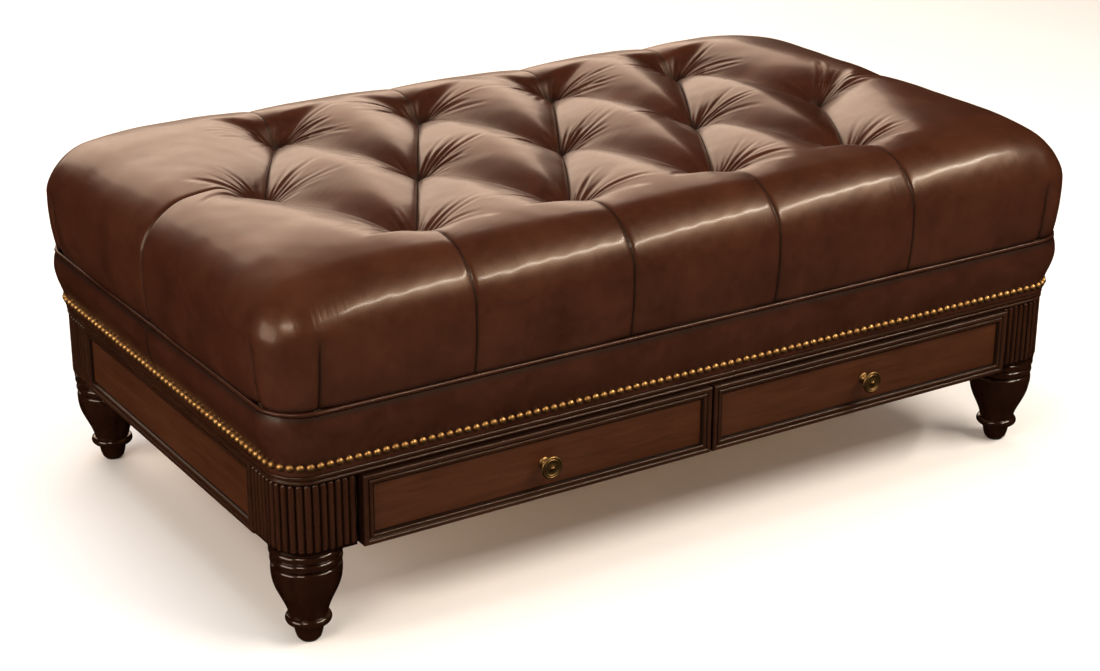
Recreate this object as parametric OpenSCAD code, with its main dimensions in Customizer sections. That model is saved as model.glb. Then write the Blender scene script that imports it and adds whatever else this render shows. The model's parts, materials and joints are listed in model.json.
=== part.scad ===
// Tufted ottoman with two storage drawers.
// A mahogany case on four turned legs carries a nailed leather band and a
// deep-buttoned cushion. Two drawers side by side slide out of the front.
// Millimetres, +Z up, +X along the length, -Y towards the drawers.
// The origin is the centre of the footprint, on the floor.

/* [Case] */
// Length of the wooden case
case_l = 1252; // [1060:2:1500]
// Depth of the wooden case
case_d = 737; // [630:1:880]
// Height of the underside of the case above the floor
leg_h = 137; // [115:1:165]
// Height of the case's side panels, under the top moulding
panel_h = 96; // [80:1:116]
// Height of the moulding round the top of the case
top_molding_h = 12; // [10:0.5:15]
// Width of the square corner posts
post_w = 97; // [86:1:112]
// Radius of the rounded corners, seen from above
corner_r = 48; // [40:1:54]
// Thickness of the side and rear panels
panel_t = 18; // [15:0.5:22]
// Width of the beaded border on panels and drawers
border_w = 16; // [13:0.5:19]
// How far the beaded border stands out from its board
border_t = 6; // [5:0.25:7.5]
// Spacing of the reeds on the corner posts
reed_pitch = 9.8; // [8:0.1:11]

/* [Legs] */
// Radius of the leg under the case
leg_top_r = 46.9; // [38:0.1:48]
// Radius of the ring above the foot
leg_ring_r = 29.6; // [24:0.1:36]
// Radius of the foot on the floor
leg_foot_r = 13.5; // [12:0.1:17]

/* [Drawers] */
// Thickness of the drawer front boards
front_t = 14; // [12:0.5:18]
// Thickness of the drawer sides and backs
box_t = 12; // [9:0.5:15]
// Thickness of the drawer bottoms
bottom_t = 6; // [4:0.5:8]
// Space left behind the closed drawers
back_space = 110; // [90:1:135]
// How far a drawer slides out before its stops meet
drawer_travel = 400; // [330:5:430]
// Gap between the two drawer fronts
front_gap = 3; // [2:0.5:5]
// Diameter of the knobs
knob_d = 31; // [24:0.5:40]
// How far the knobs stand out from the drawer fronts
knob_reach = 24; // [20:0.5:30]

/* [Seat] */
// Height of the seat frame, covered by the leather band
seat_rail_h = 80; // [66:1:96]
// Thickness of the seat frame's rails
seat_rail_t = 22; // [18:0.5:28]
// Thickness of the plywood deck under the cushion
deck_t = 12; // [9:0.5:15]
// Height of the cushion above the piping
cushion_h = 162; // [135:1:195]
// How far the cushion overhangs the case all round
cushion_out = 17; // [13:0.5:21]
// Thickness of the leather and its wadding over the foam
cover_t = 13; // [11:0.5:16]
// Diameter of the piping
welt_d = 6; // [5:0.5:8]
// How far the band bulges out from the seat frame
band_bulge = 15; // [10:0.5:15.5]

/* [Tufting] */
// Spacing of the buttons along a row
tuft_pitch_x = 232; // [190:1:280]
// Spacing of the rows
tuft_pitch_y = 234; // [195:1:240]
// Depth of the buttons below the top of the cushion
tuft_depth = 50; // [44:1:70]
// How far the outer button rows are set off to either side
tuft_lean = 18; // [0:1:30]
// Diameter of the buttons
button_d = 20; // [16:0.5:26]

/* [Hardware] */
// Spacing of the nails
nail_pitch = 12.7; // [11:0.1:15.2]
// Diameter of the nail heads
nail_d = 10.2; // [8:0.1:10.8]
// Diameter of the leg and case bolts
bolt_d = 8; // [6:0.5:10]
// Diameter of the wood screws
screw_d = 4; // [3:0.5:5]

/* [Hidden] */
$fn = 64;
DRAWERS = ["left", "right"];

// Heights of the case
case_top = leg_h + panel_h + top_molding_h;
panel_top = leg_h + panel_h;
dust_t = 1;
seat_z = case_top + dust_t;
seat_top = seat_z + seat_rail_h;
deck_top = seat_top + deck_t;
cushion_z = seat_top + welt_d;
cushion_top = cushion_z + cushion_h;

// Half sizes and the place of the legs, posts and bolts
half_l = case_l / 2;
half_d = case_d / 2;
post_x = half_l - post_w / 2;
post_y = half_d - post_w / 2;
CORNERS = [[-1, -1], [1, -1], [-1, 1], [1, 1]];

// Reeds of the posts: as many as fit each flat and the rounded corner
reed_r = 0.57 * reed_pitch;
reed_sink = 3.2;
reeds_flat = round((post_w - corner_r) / reed_pitch);
reeds_arc = round(PI / 2 * (corner_r - reed_r / 2) / reed_pitch);

// How far the panel boards are set in, so that the beads finish flush
panel_out = border_t - 0.5;

// Front frame: its rails stand behind the drawer fronts
rail_t = 20;
front_set_back = 10;
rail_face_y = -half_d + front_set_back;
rail_h = 13;
fit_gap = 0.5;

// Drawers
divider_t = 18;
runner_w = 18;
ledge_h = rail_h;
guide_t = 15;
front_z = leg_h + fit_gap;
front_h = panel_h - 2 * fit_gap;
front_out_x = half_l - post_w - 4;
front_in_x = front_gap / 2;
front_len = front_out_x - front_in_x;
front_mid_x = (front_out_x + front_in_x) / 2;
box_out_x = half_l - post_w - guide_t - 2 * fit_gap;
box_in_x = divider_t / 2 + 2 * fit_gap;
box_z = leg_h + ledge_h + fit_gap;
board_back_y = rail_face_y - fit_gap;
board_face_y = board_back_y - front_t;
panel_in_y = half_d - panel_out - panel_t;
bay_y = rail_face_y + rail_t;
box_front_y = board_back_y;
box_back_y = panel_in_y - back_space;
box_l = box_back_y - box_front_y;
box_h = panel_h - 2 * rail_h - 4 * fit_gap;
box_mid_x = (box_out_x + box_in_x) / 2;
groove_z = 8;
groove_d = 5;
bottom_w = box_out_x - box_in_x - 2 * (box_t - groove_d);
runner_l = panel_in_y - bay_y;
stop_l = 20;
stop_drop = 6;
knob_z = front_z + front_h / 2;

// Upholstery
foam_r = 50;
foam_x = half_l + cushion_out - cover_t;
foam_y = half_d + cushion_out - cover_t;
cover_x = half_l + cushion_out;
cover_y = half_d + cushion_out;
cover_r = foam_r + cover_t;
tuft_pad = 4;
pit_r = 40;
button_h = 7;
button_seat = cushion_top - tuft_depth;
twine_d = 2;
twine_hole_d = 6;
knot_d = 12;
knot_h = 3;
nail_z = seat_z + 10.7;
nail_flat = nail_d / 2 + 0.2;
nail_out = 2.6;
nail_h = 3.2;
welt_out = cushion_out - 7.5;

// Buttons of the tufting: a staggered grid with one more in the middle row
TUFTS = concat(
    [for (row = [-1, 1]) for (i = [-1.5:1:1.5])
        [i * tuft_pitch_x + row * tuft_lean, row * tuft_pitch_y]],
    [for (i = [-2:1:2]) [i * tuft_pitch_x, 0]]
);

mahogany = [0.20, 0.09, 0.06];
mahogany_dark = [0.13, 0.07, 0.05];
plain_wood = [0.72, 0.56, 0.38];
leather = [0.25, 0.13, 0.08];
brass = [0.72, 0.55, 0.28];
bronze = [0.42, 0.30, 0.16];
steel = [0.62, 0.62, 0.64];
foam = [0.93, 0.87, 0.68];
cloth = [0.12, 0.12, 0.12];

// ---- shared shapes --------------------------------------------------

// A rectangle with rounded corners, given by its half sizes
module round_rect(hx, hy, r) {
    square([2 * (hx - r), 2 * hy], center = true);
    square([2 * hx, 2 * (hy - r)], center = true);
    for (c = CORNERS) translate([c[0] * (hx - r), c[1] * (hy - r)]) circle(r);
}

// A cushion block: rounded plan, rolled top edges, flat bottom
module cushion_block(hx, hy, r, z0, z1) {
    translate([0, 0, z0]) linear_extrude(z1 - r - z0) round_rect(hx, hy, r);
    translate([0, 0, z1 - r]) {
        linear_extrude(r) square([2 * (hx - r), 2 * (hy - r)], center = true);
        for (c = CORNERS) translate([c[0] * (hx - r), c[1] * (hy - r), 0]) sphere(r);
        for (s = [-1, 1]) {
            translate([0, s * (hy - r), 0]) rotate([0, 90, 0])
                cylinder(r = r, h = 2 * (hx - r), center = true);
            translate([s * (hx - r), 0, 0]) rotate([90, 0, 0])
                cylinder(r = r, h = 2 * (hy - r), center = true);
        }
    }
}

// A quarter turn round a corner of the case; the child is a profile that
// starts at the case's outer face (x = 0) and goes outwards with x
module corner_run(c) {
    turn = c[0] > 0 ? (c[1] > 0 ? 0 : 270) : (c[1] > 0 ? 90 : 180);
    translate([c[0] * (half_l - corner_r), c[1] * (half_d - corner_r), 0]) rotate(turn)
        rotate_extrude(angle = 90) translate([corner_r, 0]) children();
}

// A straight run of the same profile along one side of the case:
// side 0 is right, 90 rear, 180 left, 270 front
module side_run(side, len) {
    out = side % 180 == 0 ? half_l : half_d;
    rotate(side) translate([out, 0, 0]) rotate([90, 0, 0])
        linear_extrude(len, center = true) children();
}

// The straight lengths between the corners
straight_x = case_l - 2 * corner_r;
straight_y = case_d - 2 * corner_r;

// Both beads of the border, with x from the outer edge inwards
module border_profile() {
    bead_r = border_w / 4;
    square([border_w, border_t - bead_r]);
    intersection() {
        for (i = [1, 3]) translate([i * bead_r, border_t - bead_r]) circle(bead_r);
        square([border_w, border_t]);
    }
}

// Four mitred border strips on a w by h board that faces +Z
mitre_gap = 0.1;
module border_frame(w, h) {
    mitre = border_w + border_t + 4;
    for (turn = [0, 90, 180, 270]) {
        len = turn % 180 == 0 ? w : h;
        off = turn % 180 == 0 ? h / 2 : w / 2;
        rotate(turn) intersection() {
            translate([0, -off, 0]) rotate([90, 0, 90])
                linear_extrude(len, center = true) border_profile();
            translate([0, -off, -1]) linear_extrude(border_t + 2)
                polygon([[mitre_gap - len / 2, 0], [len / 2 - mitre_gap, 0],
                    [len / 2 - mitre_gap - mitre, mitre], [mitre_gap + mitre - len / 2, mitre]]);
        }
    }
}

// ---- legs -----------------------------------------------------------

glide_t = 2;
ring_minor = 6;
ring_z = 31;
neck_z = 44.5;
neck_r = leg_ring_r - 3.3;
bead_h = 12.5;
beads_z = leg_h - 2 * bead_h - 2;
shoulder_r = leg_top_r - 3;

// Outline of the swelling part of the leg, from the neck to the shoulder
function vase(t) = let (s = t * t * (3 - 2 * t) * 0.35 + t * 0.65)
    [neck_r + (shoulder_r - neck_r) * sin(90 * s), neck_z + (beads_z - neck_z) * t];

module leg(c) {
    ankle_r = leg_foot_r + 5.3;
    bead_r = bead_h / 2;
    color(mahogany_dark) translate([c[0] * post_x, c[1] * post_y, 0]) difference() {
        rotate_extrude() union() {
            polygon(concat(
                [[0, glide_t], [leg_foot_r - 1, glide_t], [leg_foot_r + 2.5, glide_t + 3.5],
                    [ankle_r - 0.6, glide_t + 10], [ankle_r, glide_t + 16],
                    [leg_ring_r - ring_minor, ring_z - ring_minor],
                    [leg_ring_r - ring_minor, ring_z + ring_minor]],
                [for (i = [0:12]) vase(i / 12)],
                [[leg_top_r - bead_r, beads_z], [leg_top_r - bead_r, leg_h - 2],
                    [leg_top_r, leg_h - 2], [leg_top_r, leg_h], [0, leg_h]]
            ));
            translate([leg_ring_r - ring_minor, ring_z]) circle(ring_minor);
            for (i = [0, 1])
                translate([leg_top_r - bead_r - 1 + i, beads_z + (i + 0.5) * bead_h]) circle(bead_r);
        }
        translate([0, 0, leg_h - bolt_grip]) cylinder(d = bolt_d, h = bolt_grip + 1);
    }
}

module leg_glides() {
    color("dimgray") for (c = CORNERS) translate([c[0] * post_x, c[1] * post_y, 0])
        cylinder(r = leg_foot_r - 2, h = glide_t);
}

// Bolts that hold each leg under its post
bolt_grip = 42;
module hanger_bolts() {
    color(steel) for (c = CORNERS)
        translate([c[0] * post_x, c[1] * post_y, leg_h - bolt_grip])
            cylinder(d = bolt_d, h = 2 * bolt_grip);
}

// ---- case -----------------------------------------------------------

// Plan of a post with its outer corner at the origin, growing along +X and +Y
module post_plan(inset) {
    translate([inset, corner_r]) square([post_w - inset, post_w - corner_r]);
    translate([corner_r, inset]) square([post_w - corner_r, post_w - inset]);
    translate([corner_r, corner_r]) circle(corner_r - inset);
}

module reeds_plan() {
    flat = post_w - corner_r;
    pitch = flat / reeds_flat;
    for (i = [0:reeds_flat - 1]) {
        translate([corner_r + (i + 0.5) * pitch, reed_r]) circle(reed_r);
        translate([reed_r, corner_r + (i + 0.5) * pitch]) circle(reed_r);
    }
    for (i = [0:reeds_arc - 1]) {
        a = 180 + (i + 0.5) * 90 / reeds_arc;
        translate([corner_r + (corner_r - reed_r) * cos(a), corner_r + (corner_r - reed_r) * sin(a)])
            circle(reed_r);
    }
}

molding_w = front_set_back;

module post(c) {
    case_bolt_z = case_top - bolt_grip;
    color(mahogany_dark) difference() {
        translate([c[0] * half_l, c[1] * half_d, 0]) mirror([c[0] > 0 ? 1 : 0, 0])
            mirror([0, c[1] > 0 ? 1 : 0]) {
                translate([0, 0, leg_h]) linear_extrude(panel_h) intersection() {
                    union() {
                        post_plan(reed_sink);
                        reeds_plan();
                    }
                    square(post_w);
                }
                translate([0, 0, panel_top]) linear_extrude(top_molding_h) post_plan(molding_w);
            }
        translate([c[0] * post_x, c[1] * post_y, leg_h - 1]) cylinder(d = bolt_d, h = bolt_grip + 1);
        translate([c[0] * post_x, c[1] * post_y, case_bolt_z]) cylinder(d = bolt_d, h = bolt_grip + 1);
    }
}

side_panel_len = case_d - 2 * post_w;
rear_panel_len = case_l - 2 * post_w;

// A panel board set in behind the border's beads, on the side of the given turn
module panel(side, len) {
    out = (side % 180 == 0 ? half_l : half_d) - panel_out;
    color(mahogany) rotate(side) translate([out - panel_t, -len / 2, leg_h])
        cube([panel_t, len, panel_h]);
}

module panel_molding(side, len) {
    out = (side % 180 == 0 ? half_l : half_d) - panel_out;
    color(mahogany_dark) rotate(side) translate([out, 0, leg_h + panel_h / 2])
        rotate([90, 0, 90]) border_frame(len, panel_h);
}

// Two beads over a fillet; x = 0 is the case's outer face
module top_molding_profile() {
    bead_r = top_molding_h / 4;
    translate([-molding_w, 0]) square([molding_w - bead_r + 0.5, top_molding_h]);
    for (i = [1, 3]) translate([-bead_r + 0.5 + (i - 1) * 0.6, i * bead_r]) circle(bead_r);
}

module top_molding(side, len) {
    color(mahogany_dark) translate([0, 0, panel_top]) side_run(side, len) top_molding_profile();
}

module top_molding_corners() {
    color(mahogany_dark) for (c = CORNERS)
        translate([0, 0, panel_top]) corner_run(c) top_molding_profile();
}

rail_len = case_l - 2 * post_w;

module front_rail(z, h) {
    color(mahogany_dark) translate([-rail_len / 2, rail_face_y, z]) cube([rail_len, rail_t, h]);
}

module center_divider() {
    color(plain_wood) translate([-divider_t / 2, bay_y, leg_h])
        cube([divider_t, runner_l, case_top - leg_h]);
}

// Each drawer rides on an outer guided runner and on a ledge on the divider
module drawer_runners() {
    guide_x = half_l - post_w - guide_t;
    color(plain_wood) for (s = [0, 1]) mirror([s, 0, 0]) {
        translate([guide_x, bay_y, leg_h + ledge_h]) cube([guide_t, runner_l, box_h]);
        translate([guide_x - runner_w, bay_y, leg_h]) cube([guide_t + runner_w, runner_l, ledge_h]);
        translate([divider_t / 2, bay_y, leg_h]) cube([runner_w, runner_l, ledge_h]);
    }
}

// Strips over the drawer sides, which keep a pulled-out drawer from tipping;
// a lug at the front of each one stops the step in the drawer side
kicker_h = 9;
module drawer_kickers() {
    z = panel_top - rail_h;
    outer_x = half_l - post_w - guide_t - runner_w;
    color(plain_wood) for (s = [0, 1]) mirror([s, 0, 0]) {
        for (k = [[outer_x, guide_t + runner_w], [divider_t / 2, runner_w]])
            translate([k[0], bay_y, z]) cube([k[1], runner_l, kicker_h]);
        for (x = [box_out_x - box_t, box_in_x])
            translate([x, bay_y, z - stop_drop]) cube([box_t, stop_l, stop_drop]);
    }
}

// Black cloth stapled under the seat frame
module dust_cover() {
    color(cloth) difference() {
        translate([0, 0, case_top]) linear_extrude(dust_t)
            round_rect(half_l - 4, half_d - 4, corner_r - 4);
        for (c = CORNERS) translate([c[0] * post_x, c[1] * post_y, case_top - 1])
            cylinder(d = bolt_d, h = dust_t + 2);
    }
}

// ---- drawers --------------------------------------------------------

module drawer_front(s) {
    color(mahogany) difference() {
        translate([s * front_mid_x - front_len / 2, board_face_y, front_z])
            cube([front_len, front_t, front_h]);
        translate([s * front_mid_x, board_face_y - 1, knob_z]) rotate([-90, 0, 0])
            cylinder(d = screw_d, h = front_t + 2);
    }
}

module drawer_molding(s) {
    color(mahogany_dark) translate([s * front_mid_x, board_face_y, front_z + front_h / 2])
        rotate([90, 0, 0]) border_frame(front_len, front_h);
}

// A side with a groove for the bottom; its top is cut down as far as the
// drawer may travel, and the step at the end of the cut is its stop
module drawer_side(s, x) {
    cut_l = bay_y + stop_l + fit_gap + drawer_travel - box_front_y;
    cut_h = stop_drop + fit_gap;
    color(plain_wood) difference() {
        translate([s * x - box_t / 2, box_front_y, box_z]) cube([box_t, box_l, box_h]);
        translate([s * box_mid_x, 0, box_z + groove_z + bottom_t / 2])
            cube([bottom_w, 4 * box_l, bottom_t], center = true);
        translate([s * x - box_t, box_front_y - 1, box_z + box_h - cut_h])
            cube([2 * box_t, cut_l + 1, cut_h + 1]);
    }
}

module drawer_back(s) {
    z = box_z + groove_z + bottom_t;
    w = box_out_x - box_in_x - 2 * box_t;
    color(plain_wood) translate([s * box_mid_x - w / 2, box_back_y - box_t, z])
        cube([w, box_t, box_z + box_h - z]);
}

module drawer_bottom(s) {
    color(plain_wood) translate([s * box_mid_x - bottom_w / 2, box_front_y, box_z + groove_z])
        cube([bottom_w, box_l, bottom_t]);
}

// A turned knob: collar, thin stem, ringed face and domed centre
module drawer_knob(s) {
    r = knob_d / 2;
    color(bronze) translate([s * front_mid_x, board_face_y, knob_z]) rotate([90, 0, 0]) difference() {
        rotate_extrude() union() {
            polygon([[0, 0], [8.5, 0], [8.5, 1.5], [6.5, 3.5], [4.2, 5], [4.2, knob_reach - 12],
                [6, knob_reach - 9], [r - 4, knob_reach - 7.5], [r - 2, knob_reach - 6.2],
                [r - 2, knob_reach - 3.5], [r - 6, knob_reach - 4], [0, knob_reach - 3]]);
            translate([r - 2, knob_reach - 4.7]) circle(2);
            translate([r - 6.4, knob_reach - 4]) circle(1.5);
            intersection() {
                translate([0, knob_reach - 7]) circle(7);
                translate([0, knob_reach - 5]) square([7, 7]);
            }
        }
        translate([0, 0, -1]) cylinder(d = screw_d, h = knob_screw_grip + 1);
    }
}

knob_screw_grip = 10;
module drawer_knob_screw(s) {
    color(steel) translate([s * front_mid_x, board_back_y, knob_z]) rotate([90, 0, 0]) {
        cylinder(d = screw_d, h = front_t + knob_screw_grip);
        translate([0, 0, -2.4]) cylinder(d = 2 * screw_d, h = 2.4);
    }
}

// ---- seat frame -----------------------------------------------------

module seat_rail_plan(side) {
    along = side % 180 == 0;
    t = seat_rail_t;
    intersection() {
        round_rect(half_l, half_d, corner_r);
        if (along) translate([(side == 0 ? half_l - t : -half_l), -half_d + t]) square([t, case_d - 2 * t]);
        else translate([-half_l, side == 90 ? half_d - t : -half_d]) square([case_l, t]);
    }
}

screw_in = seat_rail_t / 2;
deck_screw_l = 38;
SCREWS = concat(
    [for (s = [-1, 1]) for (i = [-2:2]) [i * (case_l - 2 * post_w) / 4, s * (half_d - screw_in)]],
    [for (s = [-1, 1]) for (i = [-1, 1]) [s * (half_l - screw_in), i * (case_d / 2 - post_w)]]
);

module screw_holes() {
    for (p = SCREWS) translate([p[0], p[1], deck_top - deck_screw_l])
        cylinder(d = screw_d, h = deck_screw_l + 1);
}

module seat_rail(side) {
    color(plain_wood) difference() {
        translate([0, 0, seat_z]) linear_extrude(seat_rail_h) seat_rail_plan(side);
        screw_holes();
    }
}

block_h = 40;
module seat_corner_blocks() {
    inner_x = half_l - seat_rail_t;
    inner_y = half_d - seat_rail_t;
    bx = 2 * (inner_x - post_x);
    by = 2 * (inner_y - post_y);
    color(plain_wood) for (c = CORNERS) translate([c[0] * post_x, c[1] * post_y, seat_z]) difference() {
        translate([-bx / 2, -by / 2, 0]) cube([bx, by, block_h]);
        translate([0, 0, -1]) cylinder(d = bolt_d, h = block_h + 2);
    }
}

module case_bolts() {
    head_h = 5;
    color(steel) for (c = CORNERS) translate([c[0] * post_x, c[1] * post_y, 0]) {
        translate([0, 0, case_top - bolt_grip])
            cylinder(d = bolt_d, h = bolt_grip + dust_t + block_h + head_h);
        translate([0, 0, seat_z + block_h]) cylinder(d = 1.9 * bolt_d, h = head_h);
    }
}

module deck_panel() {
    color(plain_wood) difference() {
        translate([0, 0, seat_top]) linear_extrude(deck_t) round_rect(half_l, half_d, corner_r);
        for (p = TUFTS) translate([p[0], p[1], seat_top - 1]) cylinder(d = twine_hole_d, h = deck_t + 2);
        screw_holes();
    }
}

module deck_screws() {
    color(steel) for (p = SCREWS) translate([p[0], p[1], deck_top - deck_screw_l])
        cylinder(d = screw_d, h = deck_screw_l);
}

// ---- upholstery -----------------------------------------------------

// The pit that a button pulls into the cushion, widened by grow all round
module pits(grow) {
    r = button_d / 2 + 1 + grow;
    for (p = TUFTS) translate([p[0], p[1], button_seat]) {
        translate([0, 0, -grow]) cylinder(r = r, h = button_h + grow + 0.01);
        translate([0, 0, button_h])
            cylinder(r1 = r, r2 = pit_r + grow, h = tuft_depth - button_h + 0.01);
    }
}

module twine_holes() {
    for (p = TUFTS) translate([p[0], p[1], seat_top - 1])
        cylinder(d = twine_hole_d, h = button_seat - seat_top + 2);
}

module foam_block() {
    cushion_block(foam_x, foam_y, foam_r, deck_top, cushion_top - cover_t);
}

module foam_pad() {
    color(foam) difference() {
        foam_block();
        pits(tuft_pad);
        twine_holes();
    }
}

// Leather over wadding: open below, and drawn down into a funnel at each button
module tufted_cover() {
    color(leather) difference() {
        union() {
            difference() {
                cushion_block(cover_x, cover_y, cover_r, cushion_z, cushion_top);
                cushion_block(foam_x, foam_y, foam_r, seat_top - 1, cushion_top - cover_t);
            }
            intersection() {
                foam_block();
                pits(tuft_pad);
            }
        }
        pits(0);
        twine_holes();
    }
}

module tuft_buttons() {
    color(leather) for (p = TUFTS) translate([p[0], p[1], button_seat]) {
        cylinder(d = button_d, h = button_h / 2);
        intersection() {
            translate([0, 0, button_h - button_d]) sphere(button_d);
            cylinder(d = button_d, h = button_h);
        }
    }
}

// Waxed twine from each button to a knot under the deck
module tuft_twines() {
    color("beige") for (p = TUFTS) translate([p[0], p[1], 0]) {
        translate([0, 0, seat_top - knot_h]) cylinder(d = knot_d, h = knot_h);
        translate([0, 0, seat_top - knot_h]) cylinder(d = twine_d, h = button_seat - seat_top + knot_h);
    }
}

// The padded band, thin where the nails pull it in and full below the piping
module band_profile() {
    polygon(concat(
        [[0.5, seat_z], [3, seat_z], [nail_out, nail_z - nail_flat], [nail_out, nail_z + nail_flat]],
        [for (i = [1:8]) let (t = i / 9)
            [nail_out + (band_bulge - nail_out) * sin(128 * t),
             nail_z + nail_flat + (seat_top - nail_z - nail_flat) * t]],
        [[welt_out + 0.5, seat_top], [0.5, seat_top]]
    ));
}

// Half of the band; its two halves are sewn at the middle of each end
module band(s) {
    color(leather) {
        side_run(s < 0 ? 270 : 90, straight_x) band_profile();
        for (c = CORNERS) if (c[1] == s) corner_run(c) band_profile();
        for (side = [0, 180]) intersection() {
            side_run(side, straight_y) band_profile();
            translate([0, s * case_d, seat_top]) cube([4 * case_l, 2 * case_d, 4 * seat_top], center = true);
        }
    }
}

module welt_cord() {
    color(leather) translate([0, 0, seat_top + welt_d / 2]) {
        for (c = CORNERS) corner_run(c) translate([welt_out, 0]) circle(d = welt_d);
        for (side = [0, 180]) side_run(side, straight_y) translate([welt_out, 0]) circle(d = welt_d);
        for (side = [90, 270]) side_run(side, straight_x) translate([welt_out, 0]) circle(d = welt_d);
    }
}
// Nails, evenly spaced round the whole band
nail_r = corner_r + nail_out;
nail_loop = 2 * (straight_x + straight_y) + 2 * PI * nail_r;
nail_count = round(nail_loop / nail_pitch);

// Place and heading on the nail line, s from the middle of the right end
function nail_at(s, q = 0) =
    let (a = q % 2 == 0 ? straight_y / 2 : straight_x / 2,
         b = q % 2 == 0 ? straight_x / 2 : straight_y / 2,
         out = q % 2 == 0 ? half_l : half_d,
         arc = PI * nail_r / 2)
    s < a ? [turned([out + nail_out, s], q), 90 * q]
    : s < a + arc ? let (w = (s - a) / arc * 90)
        [turned([out - corner_r + nail_r * cos(w), a + nail_r * sin(w)], q), 90 * q + w]
    : s < a + arc + b ? [turned([out - corner_r - (s - a - arc), a + nail_r], q), 90 * q + 90]
    : nail_at(s - a - arc - b, q + 1);

function turned(p, q) = q % 4 == 0 ? p : turned([-p[1], p[0]], q - 1);

module nail_heads() {
    dome_r = (pow(nail_d / 2, 2) + pow(nail_h, 2)) / (2 * nail_h);
    color(brass) for (i = [0:nail_count - 1]) {
        n = nail_at((i + 0.5) * nail_loop / nail_count);
        translate([n[0][0], n[0][1], nail_z]) rotate([0, 90, n[1]]) intersection() {
            translate([0, 0, nail_h - dome_r]) sphere(dome_r);
            cylinder(d = nail_d + 1, h = nail_h + 1);
        }
    }
}

// ---- nodes ----------------------------------------------------------

for (c = CORNERS) {
    place = str(c[1] < 0 ? "front" : "rear", "_", c[0] < 0 ? "left" : "right");
    leg(c);
    post(c);
}
leg_glides();
hanger_bolts();
panel(180, side_panel_len);  // panel_left
panel(0, side_panel_len);  // panel_right
panel(90, rear_panel_len);  // panel_rear
panel_molding(180, side_panel_len);  // panel_molding_left
panel_molding(0, side_panel_len);  // panel_molding_right
panel_molding(90, rear_panel_len);  // panel_molding_rear
front_rail(leg_h + panel_h - rail_h, rail_h + top_molding_h);  // front_top_rail
front_rail(leg_h, rail_h);  // front_bottom_rail
center_divider();
top_molding(270, straight_x);  // top_molding_front
top_molding(90, straight_x);  // top_molding_rear
top_molding(180, straight_y);  // top_molding_left
top_molding(0, straight_y);  // top_molding_right
top_molding_corners();
drawer_runners();
drawer_kickers();
dust_cover();
seat_rail(270);  // seat_rail_front
seat_rail(90);  // seat_rail_rear
seat_rail(180);  // seat_rail_left
seat_rail(0);  // seat_rail_right
seat_corner_blocks();
case_bolts();
deck_panel();
deck_screws();
foam_pad();
tufted_cover();
tuft_buttons();
tuft_twines();
band(-1);  // band_front
band(1);  // band_rear
welt_cord();
nail_heads();
for (i = [0, 1]) {
    s = i == 0 ? -1 : 1;
    name = str("drawer_", DRAWERS[i], "_");
    drawer_front(s);
    drawer_molding(s);
    drawer_side(s, box_out_x - box_t / 2);
    drawer_side(s, box_in_x + box_t / 2);
    drawer_back(s);
    drawer_bottom(s);
    drawer_knob(s);
    drawer_knob_screw(s);
}
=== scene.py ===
# %% [markdown]
# # A tufted ottoman with two drawers
# The wooden case, its drawers and the seat frame come in as a finished, measured frame.
# Here each visible piece gets the shape a maker would give it by hand: turned legs, reeded
# corners, beaded borders, a nailed leather band and a deep-buttoned cushion.
# Everything is in metres, in the frame's own axes: +Z up, -Y towards the drawers.

# %% Load the frame
import json
import math
import bmesh
import bpy
import numpy as np
from mathutils import Matrix, Vector


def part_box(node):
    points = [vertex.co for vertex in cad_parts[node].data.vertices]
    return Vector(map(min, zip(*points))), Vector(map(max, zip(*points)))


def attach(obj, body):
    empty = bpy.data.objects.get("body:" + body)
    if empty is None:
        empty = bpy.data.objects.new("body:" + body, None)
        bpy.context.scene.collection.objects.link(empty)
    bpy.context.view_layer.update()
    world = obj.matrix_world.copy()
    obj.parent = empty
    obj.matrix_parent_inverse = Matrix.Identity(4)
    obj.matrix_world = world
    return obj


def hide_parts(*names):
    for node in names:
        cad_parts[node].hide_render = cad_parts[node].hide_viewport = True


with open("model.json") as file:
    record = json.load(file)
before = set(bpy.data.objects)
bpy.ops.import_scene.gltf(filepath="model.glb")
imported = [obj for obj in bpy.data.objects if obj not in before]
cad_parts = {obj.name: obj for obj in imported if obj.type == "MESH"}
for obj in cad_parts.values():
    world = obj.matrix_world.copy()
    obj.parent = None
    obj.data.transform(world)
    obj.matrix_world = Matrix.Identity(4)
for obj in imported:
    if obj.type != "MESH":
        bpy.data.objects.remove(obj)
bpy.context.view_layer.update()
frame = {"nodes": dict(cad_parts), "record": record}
MM = 0.001
rng = np.random.default_rng(7)

# %% [markdown]
# ## Sizes
# A piece that fits the frame takes its size from it. The deck panel has the case's own
# outline, so it gives the half length and half depth that mouldings and leather follow.
# Only what the frame can't tell, such as a corner radius, is a number of its own.

# %% Sizes read from the frame
CASE = "case"
case_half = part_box("deck_panel")[1].xy
CASE_X, CASE_Y = case_half
CORNER_R = 48 * MM
panel_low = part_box("panel_left")[0].z
panel_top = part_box("panel_left")[1].z
molding_low, molding_top = (corner.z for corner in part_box("top_molding_front"))
band_low, band_top = (corner.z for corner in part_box("band_front"))
cover_low, cover_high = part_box("tufted_cover")
welt_low, welt_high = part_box("welt_cord")
nail_low, nail_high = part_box("nail_heads")
leg_low, leg_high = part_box("leg_front_left")
WELT_Z = (welt_low.z + welt_high.z) / 2
WELT_R = (welt_high.z - welt_low.z) / 2
NAIL_Z = (nail_low.z + nail_high.z) / 2
NAIL_R = (nail_high.z - nail_low.z) / 2
NAIL_OUT = 2.6 * MM
NAIL_PITCH = 12.7 * MM
LEG_X, LEG_Y = (abs(v) for v in (leg_low.xy + leg_high.xy) / 2)
CORNERS = [(x, y) for y in (-1, 1) for x in (-1, 1)]
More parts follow.
